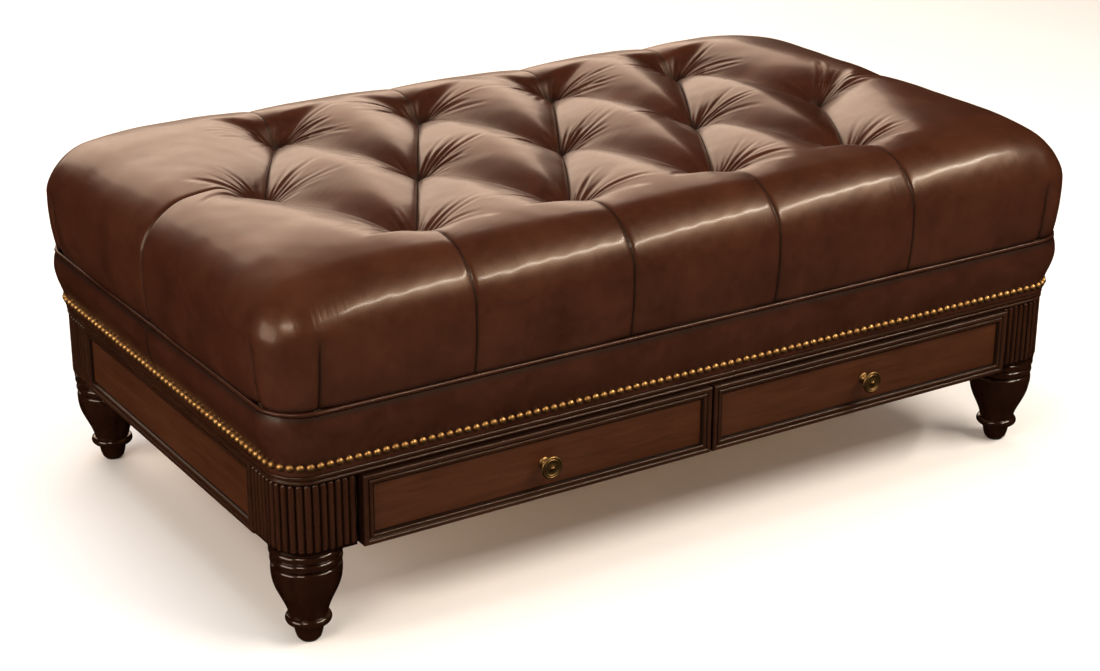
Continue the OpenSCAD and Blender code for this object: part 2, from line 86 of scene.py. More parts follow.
print("case half size", round(CASE_X, 4), round(CASE_Y, 4), "nail line at", round(NAIL_Z, 4))

# %% [markdown]
# ## Shader arithmetic
# A finish is mostly sums on masks. Wrapping a socket in a small class lets a sum be written
# as an ordinary expression, and one method adds every other kind of node.

# %% Wires and paints
class Wire:
    """A shader socket that adds, subtracts and multiplies like a number."""

    def __init__(self, paint, socket):
        self.paint = paint
        self.socket = socket

    def maths(self, operation, first, second):
        return self.paint.add("Math", {"operation": operation}, {0: first, 1: second})

    def __add__(self, other):
        return self.maths("ADD", self, other)

    def __sub__(self, other):
        return self.maths("SUBTRACT", self, other)

    def __rsub__(self, other):
        return self.maths("SUBTRACT", other, self)

    def __mul__(self, other):
        return self.maths("MULTIPLY", self, other)

    __radd__ = __add__
    __rmul__ = __mul__


class Paint:
    """One material and its nodes."""

    def __init__(self, name):
        self.material = bpy.data.materials.new(name)
        self.material.use_nodes = True
        self.tree = self.material.node_tree
        self.tree.nodes.clear()

    def add(self, kind, settings, sockets, output=0):
        node = self.tree.nodes.new("ShaderNode" + kind)
        for key, value in settings.items():
            if key == "stops":
                elements = node.color_ramp.elements
                while len(elements) < len(value):
                    elements.new(1.0)
                for element, (place, shade) in zip(elements, value):
                    element.position = place
                    element.color = (shade, shade, shade, 1)
            else:
                setattr(node, key, value)
        for key, value in sockets.items():
            if isinstance(value, Wire):
                self.tree.links.new(value.socket, node.inputs[key])
            else:
                node.inputs[key].default_value = value
        return Wire(self, node.outputs[output])

    def place(self, scale=(1, 1, 1)):
        where = self.add("TexCoord", {}, {}, "Object")
        return self.add("Mapping", {}, {"Vector": where, "Scale": scale})

    def noise(self, where, scale, detail=3.0, rough=0.5, distortion=0.0):
        return self.add("TexNoise", {}, {"Vector": where, "Scale": scale, "Detail": detail,
                                         "Roughness": rough, "Distortion": distortion}, "Fac")

    def ramp(self, value, *stops):
        return self.add("ValToRGB", {"stops": stops}, {"Fac": value})

    def mix(self, factor, first, second):
        colours = [c if isinstance(c, Wire) else (*c, 1) for c in (first, second)]
        return self.add("Mix", {"data_type": "RGBA"},
                        {0: factor, 6: colours[0], 7: colours[1]}, 2)

    def attribute(self, name):
        return self.add("Attribute", {"attribute_name": name}, {}, "Fac")

    def bump(self, height, strength, distance):
        return self.add("Bump", {}, {"Height": height, "Strength": strength, "Distance": distance})

    def finish(self, **sockets):
        named = {key.replace("_", " ").title().replace("Ior", "IOR"): value
                 for key, value in sockets.items()}
        shader = self.add("BsdfPrincipled", {}, named)
        out = self.tree.nodes.new("ShaderNodeOutputMaterial")
        self.tree.links.new(shader.socket, out.inputs["Surface"])
        return self.material


# %% [markdown]
# ## Leather
# Antiqued leather is dyed red-brown and rubbed back lighter where the hide is stretched or
# handled. Two cloudy noises mottle the dye. The near-black in creases, seams, pits and tucks
# is painted shade: the mesh carries how creased and how deep each point is, so the painted
# shade follows the real folds. The grain is fine, so only a weak bump carries it.

# %% Leather finish
def leather(name, crease_from_mesh):
    paint = Paint(name)
    where = paint.place()
    cloud = paint.noise(where, 13, 4, 0.6, 0.5)
    fine_cloud = paint.noise(where, 75, 5, 0.65)
    dye = paint.ramp(cloud * 0.65 + fine_cloud * 0.35, (0.36, 0.0), (0.64, 1.0))
    colour = paint.mix(dye, (0.0205, 0.0049, 0.0022), (0.0400, 0.0103, 0.0046))
    pebble = paint.add("TexVoronoi", {}, {"Vector": where, "Scale": 620}, "Distance")
    pores = paint.noise(where, 1500, 2)
    grain = pebble * 0.7 + pores * 0.3
    relief = grain * 0.04
    rough = 0.26 + fine_cloud * 0.12 + cloud * 0.05
    if crease_from_mesh:
        crease = paint.attribute("crease")
        rubbed = paint.attribute("rubbed")
        colour = paint.mix(rubbed * 0.35, colour, (0.074, 0.0230, 0.0095))
        # painted shade: near-black mixed in along creases, seams, pits and tucks
        colour = paint.mix(crease, colour, (0.006, 0.002, 0.0015))
        rough = rough + crease * 0.25
        across_front = paint.noise(paint.place((150, 9, 9)), 1, 3, 0.55, 0.4)
        across_ends = paint.noise(paint.place((9, 150, 9)), 1, 3, 0.55, 0.4)
        relief = relief + across_front * paint.attribute("gather_front") * 0.45
        relief = relief + across_ends * paint.attribute("gather_ends") * 0.3
    return paint.finish(base_color=colour, roughness=rough, ior=1.36, coat_weight=0.14, coat_roughness=0.14,
                        specular_tint=(1.0, 0.76, 0.55, 1), normal=paint.bump(relief, 1.0, 0.0011))


# %% [markdown]
# ## Wood
# The mouldings are stained so dark that the grain only glints through the lacquer, while
# the flat fields keep a red-brown tone. Grain is noise squeezed thin across the board and
# drawn long down it, so each board direction has its own stretch. Carved pieces carry how
# deep each point lies, and the colour goes nearly black with that depth: painted shade,
# kept off the crowns and laid in the grooves.

# %% Wood finish
def wood(name, dark, light, stretch, rough, coat, pore_depth=0.25):
    paint = Paint(name)
    where = paint.place(stretch)
    streaks = paint.noise(where, 6, 8, 0.68, 1.2)
    pores = paint.noise(where, 42, 4, 0.7)
    cloud = paint.noise(paint.place(), 9, 2)
    grain = paint.ramp(streaks * 0.7 + cloud * 0.3, (0.35, 0.0), (0.66, 1.0))
    colour = paint.mix(grain, dark, light)
    open_pores = paint.ramp(pores, (0.58, 0.0), (0.74, 1.0))
    colour = paint.mix(open_pores * 0.4, colour, [c * 0.45 for c in dark])
    # painted shade: the grooves darkened nearly to black by their depth
    colour = paint.mix(paint.attribute("glaze") * 0.88, colour, (0.0022, 0.0009, 0.0006))
    return paint.finish(base_color=colour, roughness=rough + grain * 0.06, coat_weight=coat,
                        coat_roughness=0.12, ior=1.30,
                        specular_tint=(1.0, 0.80, 0.62, 1),
                        normal=paint.bump(1 - open_pores, pore_depth, 0.0003))


ALONG_X, ALONG_Y, ALONG_Z = (1, 14, 14), (14, 1, 14), (14, 14, 1)
ESPRESSO = ((0.0165, 0.0056, 0.0026), (0.0320, 0.0105, 0.0047))
MAHOGANY = ((0.036, 0.0104, 0.0034), (0.061, 0.0180, 0.0062))
PLAIN = ((0.36, 0.22, 0.12), (0.56, 0.39, 0.24))

# %% [markdown]
# ## Metal and the hidden stuffs
# The nails are brass with a brown wash in noisy patches; the knobs are darker.
# Small noise breaks up the polish. What hides inside the seat still gets its own stuff:
# foam with cells, twine, woven dust cloth, zinc-plated steel.

# %% Metal, foam, twine, cloth and plastic
def metal(name, bright, dull, rough, scale):
    paint = Paint(name)
    where = paint.place()
    tarnish = paint.ramp(paint.noise(where, scale, 4, 0.6), (0.38, 0.0), (0.68, 1.0))
    scratches = paint.noise(where, scale * 9, 2)
    return paint.finish(base_color=paint.mix(tarnish, bright, dull), metallic=1.0,
                        roughness=rough + tarnish * 0.18,
                        normal=paint.bump(scratches, 0.08, 0.0002))


def stuff(name, dark, light, scale, rough, bump):
    paint = Paint(name)
    grains = paint.noise(paint.place(), scale, 4, 0.6)
    return paint.finish(base_color=paint.mix(grains, dark, light), roughness=rough,
                        normal=paint.bump(grains, bump, 0.0006))


FINISH = {
    "leather": leather("antiqued_leather", False),
    "dark_wood": wood("espresso_wood", *ESPRESSO, ALONG_X, 0.28, 0.12),
    "panel_wood": wood("mahogany_field", *MAHOGANY, ALONG_X, 0.38, 0.0),
    "plain_wood": wood("plain_wood", *PLAIN, ALONG_Y, 0.55, 0.0, 0.5),
    "nail_brass": metal("antique_brass", (0.58, 0.34, 0.125), (0.36, 0.19, 0.064), 0.42, 120),
    "knob_bronze": metal("aged_bronze", (0.42, 0.25, 0.095), (0.17, 0.095, 0.036), 0.40, 180),
    "steel": metal("zinc_steel", (0.66, 0.67, 0.68), (0.45, 0.46, 0.48), 0.32, 220),
    "foam": stuff("seat_foam", (0.78, 0.68, 0.42), (0.92, 0.84, 0.60), 900, 0.9, 0.8),
    "twine": stuff("waxed_twine", (0.62, 0.55, 0.40), (0.82, 0.76, 0.60), 1800, 0.6, 0.6),
    "dust_cloth": stuff("dust_cloth", (0.008, 0.008, 0.008), (0.03, 0.03, 0.03), 1400, 0.9, 0.7),
    "glide_plastic": stuff("nylon_glide", (0.02, 0.018, 0.016), (0.04, 0.036, 0.032), 600, 0.45, 0.2),
}
espresso_upright = wood("espresso_upright", *ESPRESSO, ALONG_Z, 0.20, 0.25)
leg_wood = wood("leg_wood", *[[c * 0.55 for c in shade] for shade in ESPRESSO], ALONG_Z, 0.16, 0.5, 0.1)
espresso_side = wood("espresso_side", *ESPRESSO, ALONG_Y, 0.28, 0.12)
mahogany_side = wood("mahogany_side_field", *MAHOGANY, ALONG_Y, 0.38, 0.0)
creased_leather = leather("buttoned_leather", True)

for row in frame["record"]["subparts"]:
    node = frame["nodes"][row["node"]]
    for holder in node.material_slots:
        holder.material = FINISH[row["material_slot"]]
for name in ("panel_left", "panel_right"):
    for holder in frame["nodes"][name].material_slots:
        holder.material = mahogany_side
print(len(frame["nodes"]), "frame nodes painted,", len(bpy.data.materials), "materials")

# %% [markdown]
# ## Making a piece
# Every new piece ends the same way: its mesh becomes an object at the origin, its flat
# faces are smoothed up to a chosen angle, it gets its finish, it is parented to an empty
# for the body it rides on, and the plain shapes it stands for are hidden.

# %% From a mesh to a piece
def make_piece(name, bm, body, slot, replaced, material=None, sharp=35):
    mesh = bpy.data.meshes.new(name)
    bm.to_mesh(mesh)
    bm.free()
    mesh.materials.append(material or FINISH[slot])
    mesh.polygons.foreach_set("use_smooth", [True] * len(mesh.polygons))
    if sharp:
        mesh.set_sharp_from_angle(angle=math.radians(sharp))
    piece = bpy.data.objects.new(name, mesh)
    bpy.context.scene.collection.objects.link(piece)
    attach(piece, body)
    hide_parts(*replaced)
    print(f"{name}: {len(mesh.polygons)} faces")
    return piece


def outward(bm):
    bmesh.ops.remove_doubles(bm, verts=bm.verts, dist=1e-6)
    bmesh.ops.recalc_face_normals(bm, faces=bm.faces)


# %% [markdown]
# ## Carrying an outline round the case
# Mouldings, leather band and piping are one outline carried round the case. The outline
# is drawn with x outwards and z up, then extruded from station to station. A station is a
# matrix: where the outline stands and which way is out. The loop closes on itself.

# %% The rounded outline and the sweep
def outline_point(s, half_x, half_y, radius):
    """Place and outward heading at a distance s from the middle of the right end."""
    turn, straight_a, straight_b, out = 0, half_y - radius, half_x - radius, half_x
    arc = math.pi * radius / 2
    while s > straight_a + arc + straight_b:
        s -= straight_a + arc + straight_b
        turn += 1
        straight_a, straight_b = straight_b, straight_a
        out = half_y if turn % 2 else half_x
    if s < straight_a:
        place, heading = Vector((out, s)), 0.0
    elif s < straight_a + arc:
        heading = (s - straight_a) / radius
        place = Vector((out - radius + radius * math.cos(heading),
                        straight_a + radius * math.sin(heading)))
    else:
        heading = math.pi / 2
        place = Vector((out - radius - (s - straight_a - arc), straight_a + radius))
    quarter = turn * math.pi / 2
    place.rotate(Matrix.Rotation(quarter, 2))
    return place, heading + quarter


def outline_length(half_x, half_y, radius):
    return 4 * (half_x + half_y - 2 * radius) + 2 * math.pi * radius


def ring_stations(half_x, half_y, radius, step, corner_steps=0):
    """Matrices round the outline, every step metres, or only where it turns."""
    stations = []
    if corner_steps:
        for quarter in range(4):
            mid = (half_y - radius) if quarter % 2 == 0 else (half_x - radius)
            out = half_x if quarter % 2 == 0 else half_y
            for i in range(corner_steps + 1):
                heading = math.pi / 2 * i / corner_steps
                place = Vector((out - radius + radius * math.cos(heading),
                                mid + radius * math.sin(heading), 0))
                turn = Matrix.Rotation(quarter * math.pi / 2, 4, "Z")
                stations.append(turn @ Matrix.Translation(place)
                                @ Matrix.Rotation(heading, 4, "Z"))
        return stations
    loop = outline_length(half_x, half_y, radius)
    count = round(loop / step)
    for i in range(count):
        place, heading = outline_point(i * loop / count, half_x, half_y, radius)
        stations.append(Matrix.Translation((*place, 0)) @ Matrix.Rotation(heading, 4, "Z"))
    return stations


def sweep(profile, stations):
    """An outline of (out, up) points carried through a closed ring of stations."""
    bm = bmesh.new()
    ring = [bm.verts.new(stations[0] @ Vector((x, 0, z))) for x, z in profile]
    edges = [bm.edges.new((ring[i - 1], ring[i])) for i in range(len(ring))]
    before = stations[0]
    for station in stations[1:] + stations[:1]:
        grown = bmesh.ops.extrude_edge_only(bm, edges=edges)["geom"]
        edges = [g for g in grown if isinstance(g, bmesh.types.BMEdge)]
        verts = [g for g in grown if isinstance(g, bmesh.types.BMVert)]
        bmesh.ops.transform(bm, matrix=station @ before.inverted(), verts=verts)
        before = station
    outward(bm)
    return bm


def arc_points(x, z, radius, start, end, steps):
    angles = [math.radians(start + (end - start) * i / steps) for i in range(steps + 1)]
    return [(x + radius * math.cos(a), z + radius * math.sin(a)) for a in angles]


# %% [markdown]
# ## Turned legs
# A leg is turned on a lathe, so it is spun from half an outline. Foot, ring and beads are
# arcs; between neck and shoulder the outline swells in one soft curve. The carver then cut
# eight shallow lobes into the swelling, which fade out under the shoulder: the spun mesh is
# pressed in between the lobes afterwards.

# %% The leg
LEG_TOP_R = 46.9 * MM
LEG_RING_R = 29.6 * MM
LEG_FOOT_R = 13.5 * MM
LOBES = 8


def leg_outline(z0, z1):
    ring, bead = 6 * MM, 6.0 * MM
    ring_z, neck_z = 31 * MM, 44.0 * MM
    beads_z = z1 - 2 * bead * 2 - 2 * MM
    neck_r, shoulder_r = LEG_RING_R - 3.3 * MM, LEG_TOP_R - 1.8 * MM
    points = [(0, z0), (LEG_FOOT_R - 2.5 * MM, z0)]
    points += arc_points(LEG_FOOT_R - 2.5 * MM, z0 + 5 * MM, 5 * MM, -75, -12, 5)
    points += [(LEG_FOOT_R + 4.3 * MM, z0 + 10 * MM), (LEG_FOOT_R + 5.3 * MM, z0 + 16 * MM)]
    points += [(LEG_FOOT_R + 6.6 * MM, z0 + 20 * MM)]
    points += arc_points(LEG_RING_R - ring, ring_z, ring, -65, 80, 12)
    shoulder_z = beads_z - 6 * MM
    steps = 30
    for i in range(steps + 1):
        t = i / steps
        eased = 0.35 * t * t * (3 - 2 * t) + 0.65 * t
        radius = neck_r + (shoulder_r - neck_r) * math.sin(math.pi / 2 * eased)
        points.append((radius, neck_z + (shoulder_z - neck_z) * t))
    points += arc_points(shoulder_r - 5.5 * MM, shoulder_z, 5.5 * MM, 12, 84, 6)
    for i in (0, 1):
        points += arc_points(LEG_TOP_R - bead - (1.2 - i) * MM, beads_z + bead * (2 * i + 1),
                             bead, -62, 62, 10)
    points += [(LEG_TOP_R - 2.2 * MM, z1 - 2 * MM), (LEG_TOP_R, z1 - 1.6 * MM), (LEG_TOP_R, z1), (0, z1)]
    return points, neck_z, shoulder_z


def leg(name, x, y):
    points, lobe_low, lobe_high = leg_outline(leg_low.z, leg_high.z)
    bm = bmesh.new()
    verts = [bm.verts.new((r, 0, z)) for r, z in points]
    edges = [bm.edges.new(pair) for pair in zip(verts, verts[1:])]
    bmesh.ops.spin(bm, geom=verts + edges, cent=(0, 0, 0), axis=(0, 0, 1), angle=math.tau,
                   steps=96, use_merge=True)
    outward(bm)
    for vert in bm.verts:
        rise = (vert.co.z - lobe_low) / (lobe_high - 8 * MM - lobe_low)
        if 0 < rise < 1:
            angle = math.atan2(vert.co.y, vert.co.x)
            between = abs(math.cos(LOBES / 2 * angle)) ** 6
            fade = min(1, rise * 9) * math.sqrt(max(0.0, 1 - rise * rise))
            vert.co.xy *= 1 - 0.075 * between * fade
    bmesh.ops.translate(bm, verts=bm.verts, vec=(x, y, 0))
    return make_piece(name + "_turned", bm, CASE, "dark_wood", [name], leg_wood)


for sx, sy in CORNERS:
    place = ("front_" if sy < 0 else "rear_") + ("left" if sx < 0 else "right")
    leg("leg_" + place, sx * LEG_X, sy * LEG_Y)

# %% [markdown]
# ## Points as numbers
# Some shapes and masks are easier to work out for all corners of a mesh at once. These
# helpers read the corners into an array, write them back, and store one number for each
# corner as an attribute that a finish can read.

# %% Reading and writing a mesh's points
def smoothstep(low, high, value):
    t = np.clip((value - low) / (high - low), 0, 1)
    return t * t * (3 - 2 * t)


def read_points(mesh):
    points = np.empty(len(mesh.vertices) * 3)
    mesh.vertices.foreach_get("co", points)
    return points.reshape(-1, 3)


def write_points(mesh, points):
    mesh.vertices.foreach_set("co", points.ravel())
    mesh.update()


def store(mesh, name, values):
    layer = mesh.attributes.new(name, "FLOAT", "POINT")
    layer.data.foreach_set("value", values.astype(np.float32))

# %% [markdown]
# ## Reeded corner posts
# Each corner is a solid block rounded to the case's corner, with seventeen half-round
# reeds. A reed is a long bead with round ends: a small sphere whose upper half is moved up.
# The reeds lie half sunk in a block swept from the same outline as the mouldings.

# %% The posts
POST_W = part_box("post_front_left")[1].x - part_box("post_front_left")[0].x
REED_PITCH = 9.8 * MM
REED_R = 4.75 * MM
REED_SINK = 3.6 * MM


def reed(bm, matrix, z0, z1):
    made = bmesh.ops.create_uvsphere(bm, u_segments=12, v_segments=9, radius=REED_R)["verts"]
    upper = [v for v in made if v.co.z > 0]
    bmesh.ops.translate(bm, verts=made, vec=(0, 0, z0 + REED_R))
    bmesh.ops.translate(bm, verts=upper, vec=(0, 0, z1 - z0 - 2 * REED_R))
    bmesh.ops.transform(bm, matrix=matrix, verts=made)


def post(name, sx, sy):
    corner = Matrix.Translation((sx * CASE_X, sy * CASE_Y, 0)) @ Matrix.Diagonal((-sx, -sy, 1, 1))
    z0, z1 = panel_low, panel_top
    bm = bmesh.new()
    inset = REED_SINK
    around = arc_points(CORNER_R, CORNER_R, CORNER_R - inset, 180, 270, 14)
    plan = [(inset, POST_W)] + around + [(POST_W, inset), (POST_W, POST_W)]
    floor = bm.faces.new([bm.verts.new((x, y, z0)) for x, y in plan])
    walls = bmesh.ops.extrude_face_region(bm, geom=[floor])["geom"]
    bmesh.ops.translate(bm, verts=[g for g in walls if isinstance(g, bmesh.types.BMVert)],
                        vec=(0, 0, z1 - z0))
    flat = POST_W - CORNER_R
    on_flat = round(flat / REED_PITCH)
    on_arc = round(math.pi / 2 * (CORNER_R - REED_R / 2) / REED_PITCH)
    spots = [(CORNER_R + (i + 0.5) * flat / on_flat, REED_R) for i in range(on_flat)]
    spots += [(y, x) for x, y in spots]
    for i in range(on_arc):
        angle = math.pi + (i + 0.5) * math.pi / 2 / on_arc
        reach = CORNER_R - REED_R
        spots.append((CORNER_R + reach * math.cos(angle), CORNER_R + reach * math.sin(angle)))
    for x, y in spots:
        reed(bm, Matrix.Translation((x, y, 0)), z0 + 2.5 * MM, z1 - 0.5 * MM)
    bmesh.ops.transform(bm, matrix=corner, verts=bm.verts)
    bmesh.ops.recalc_face_normals(bm, faces=bm.faces)
    piece = make_piece(name + "_reeded", bm, CASE, "dark_wood", [name], espresso_upright)
    across = np.array([CASE_X, CASE_Y]) - np.abs(read_points(piece.data)[:, :2])
    in_round = CORNER_R - np.hypot(across[:, 0] - CORNER_R, across[:, 1] - CORNER_R)
    depth = np.where((across < CORNER_R).all(axis=1), in_round, across.min(axis=1))
    # painted shade between the reeds, darker with depth
    store(piece.data, "glaze", smoothstep(1.0 * MM, 3.6 * MM, depth))


for sx, sy in CORNERS:
    place = ("front_" if sy < 0 else "rear_") + ("left" if sx < 0 else "right")
    post("post_" + place, sx, sy)

# %% [markdown]
# ## The moulding round the case
# One moulding runs right round under the leather: a full bead above, a cove that holds a
# dark shadow, and a smaller bead below. It is swept in one ring, so no mitre can open.

# %% The moulding
def case_molding():
    height = molding_top - molding_low
    top_r, low_r = 3.3 * MM, 2.1 * MM
    back = -11 * MM
    profile = [(back, molding_top), (-2 * MM, molding_top)]
    profile += arc_points(-1.6 * MM, molding_top - top_r, top_r, 90, -70, 10)
    profile += arc_points(0.6 * MM, molding_low + height * 0.38, 1.5 * MM, 120, 230, 5)
    profile += arc_points(-0.9 * MM, molding_low + low_r, low_r, 60, -90, 8)
    profile += [(back, molding_low)]
    stations = ring_stations(CASE_X, CASE_Y, CORNER_R, 0, 14)
    names = ["top_molding_" + side for side in ("front", "rear", "left", "right", "corners")]
    return make_piece("case_molding", sweep(profile, stations), CASE, "dark_wood", names)


case_molding()

# %% [markdown]
# ## Beaded borders
# Panels and drawers share one picture-frame border. Its outline is two half-round beads
# stepping down to the flat field, with a thin lip inside. A mitre is a station whose
# outward axis points along the diagonal and is longer by the square root of two, so the
# beads keep their width on both sides of it.

# %% The border
BORDER_W = 16 * MM


def border_outline(lift, wrap_back):
    """(inwards, up) points across the border; wrap_back covers the board's own edge."""
    first, second = 3.5 * MM, 2.9 * MM
    points = [(0.8 * MM, 0), (0.8 * MM, -wrap_back), (0, -wrap_back)] if wrap_back else [(0, 0)]
    points += [(0, lift - first)]
    points += arc_points(first, lift - first, first, 180, 20, 10)
    points += [(2 * first + 0.4 * MM, lift - 2.6 * MM)]
    points += arc_points(2 * first + 0.8 * MM + second, lift - 1.0 * MM - second, second, 165, 15, 9)
    points += [(BORDER_W - 2.0 * MM, lift - 3.2 * MM), (BORDER_W - 1.4 * MM, 1.6 * MM)]
    points += [(BORDER_W - 0.3 * MM, 1.2 * MM), (BORDER_W, 0)]
    return points


def border(name, facing, width, height, lift, body, material=None, wrap_back=0):
    """A mitred frame of border strips on a width by height board."""
    stations = [Matrix(((-sx, 0, 0, sx * width / 2), (-sy, 0, 0, sy * height / 2),
                        (0, 0, 1, 0), (0, 0, 0, 1))) for sx, sy in ((-1, -1), (1, -1), (1, 1), (-1, 1))]
    rings = []
    bm = bmesh.new()
    for station in stations:
        verts = [bm.verts.new(station @ Vector((x, 0, z))) for x, z in border_outline(lift, wrap_back)]
        rings.append([bm.edges.new((verts[i - 1], verts[i])) for i in range(len(verts))])
    for i in range(4):
        bmesh.ops.bridge_loops(bm, edges=rings[i - 1] + rings[i])
    outward(bm)
    sunk = np.array([lift - vert.co.z for vert in bm.verts])
    bmesh.ops.transform(bm, matrix=facing, verts=bm.verts)
    piece = make_piece(name + "_beaded", bm, body, "dark_wood", [name], material, sharp=28)
    # painted shade in the quirks and on the sunk faces of the border, darker with depth
    store(piece.data, "glaze", smoothstep(1.2 * MM, 3.4 * MM, sunk) * 0.8)


def facing_matrix(side, origin):
    """Turns a frame drawn facing +Z so that it faces out of one side."""
    axes = {"front": ((1, 0, 0), (0, 0, 1), (0, -1, 0)), "rear": ((-1, 0, 0), (0, 0, 1), (0, 1, 0)),
            "left": ((0, -1, 0), (0, 0, 1), (-1, 0, 0)), "right": ((0, 1, 0), (0, 0, 1), (1, 0, 0))}
    columns = axes[side]
    turn = Matrix([[columns[c][r] for c in range(3)] for r in range(3)]).to_4x4()
    return Matrix.Translation(origin) @ turn


for side in ("left", "right", "rear"):
    low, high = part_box("panel_molding_" + side)
    middle = (low + high) / 2
    if side == "rear":
        origin, width = Vector((0, low.y, middle.z)), high.x - low.x
        lift = high.y - low.y
    else:
        origin, width = Vector((low.x if side == "right" else high.x, 0, middle.z)), high.y - low.y
        lift = high.x - low.x
    border("panel_molding_" + side, facing_matrix(side, origin), width, high.z - low.z, lift, CASE,
           None if side == "rear" else espresso_side)

# %% [markdown]
# ## Drawer fronts
# A front is a plain board with eased edges, and the beaded border is glued round its face.
# The board is a cube with a bevel, and the border is folded back over its stained edges.

# %% The drawer fronts
def drawer_front(which):
    body = "drawer_" + which
    low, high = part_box(body + "_front")
    bm = bmesh.new()
    bmesh.ops.create_cube(bm, size=1)
    bmesh.ops.scale(bm, vec=high - low - Vector((1.7, 0, 1.7)) * MM, verts=bm.verts)
    bmesh.ops.translate(bm, vec=(low + high) / 2, verts=bm.verts)
    bmesh.ops.bevel(bm, geom=list(bm.edges), offset=0.6 * MM, segments=2, profile=0.5,
                    affect="EDGES", material=-1)
    make_piece(body + "_front_board", bm, body, "panel_wood", [body + "_front"])
    lift = low.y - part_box(body + "_molding")[0].y
    origin = Vector(((low.x + high.x) / 2, low.y, (low.z + high.z) / 2))
    border(body + "_molding", facing_matrix("front", origin), high.x - low.x, high.z - low.z,
           lift, body, wrap_back=high.y - low.y - 0.3 * MM)


for which in ("left", "right"):
    drawer_front(which)

# %% [markdown]
# ## Knobs
# A knob is turned brass: a collar on the wood, a thin stem, a rolled rim, a fine ring and
# a low cone that rises to a small button. Half its outline is spun about the knob's own axis.

# %% The knobs
def knob(which):
    body = "drawer_" + which
    low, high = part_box(body + "_knob")
    reach, radius = high.y - low.y, (high.x - low.x) / 2
    rim, stem = 2.0 * MM, 3.3 * MM
    points = [(0, 0), (7.4 * MM, 0), (7.7 * MM, 0.8 * MM), (7.0 * MM, 1.8 * MM), (5.6 * MM, 2.4 * MM)]
    points += [(5.4 * MM, 3.4 * MM), (4.2 * MM, 4.6 * MM), (stem, 6 * MM), (stem, reach - 13 * MM)]
    points += [(4.6 * MM, reach - 11.4 * MM), (6.4 * MM, reach - 9.6 * MM), (9.5 * MM, reach - 8.4 * MM)]
    points += arc_points(radius - rim, reach - 5.4 * MM, rim, -80, 100, 10)
    points += [(radius - 3.0 * MM, reach - 4.2 * MM), (radius - 3.6 * MM, reach - 4.4 * MM)]
    points += arc_points(radius - 4.8 * MM, reach - 4.6 * MM, 0.9 * MM, 30, 150, 5)
    points += [(radius - 6.2 * MM, reach - 4.5 * MM), (3.2 * MM, reach - 3.4 * MM)]
    points += arc_points(0, reach - 3.4 * MM, 2.6 * MM, 5, 90, 6)
    bm = bmesh.new()
    verts = [bm.verts.new((r, 0, z)) for r, z in points]
    edges = [bm.edges.new(pair) for pair in zip(verts, verts[1:])]
    bmesh.ops.spin(bm, geom=verts + edges, cent=(0, 0, 0), axis=(0, 0, 1), angle=math.tau,
                   steps=56, use_merge=True)
    outward(bm)
    middle = Vector(((low.x + high.x) / 2, high.y, (low.z + high.z) / 2))
    bmesh.ops.transform(bm, matrix=facing_matrix("front", middle), verts=bm.verts)
    return make_piece(body + "_knob_turned", bm, body, "knob_bronze", [body + "_knob"], sharp=50)


for which in ("left", "right"):
    knob(which)

# %% [markdown]
# ## The leather band
# The band is leather over wadding, nailed along its bottom edge and pulled up under the
# piping, so it bellies out between the two. Each nail draws the hide in a little, which
# leaves soft vertical puckers that die out upwards. The sewn joint in the middle of each
# end is a shallow groove. The belly and the puckers are vertex moves on a swept ring,
# because the real band is stretched too tight to sag.

# %% The band
nail_loop = outline_length(CASE_X + NAIL_OUT, CASE_Y + NAIL_OUT, CORNER_R + NAIL_OUT)
NAIL_COUNT = round(nail_loop / NAIL_PITCH)
WELT_OUT = welt_high.x - WELT_R - CASE_X


def waves(points, size, seed, octaves=3):
    """Soft, seeded unevenness between -1 and 1, made of a few crossing waves."""
    maker = np.random.default_rng(seed)
    total = np.zeros(len(points))
    for octave in range(octaves):
        for _ in range(5):
            direction = maker.normal(size=3)
            direction /= np.linalg.norm(direction)
            phase = maker.uniform(0, math.tau)
            pitch = size / 2 ** octave * maker.uniform(0.7, 1.4)
            total += np.sin(points @ direction * math.tau / pitch + phase) / 2 ** octave
    return total / 5


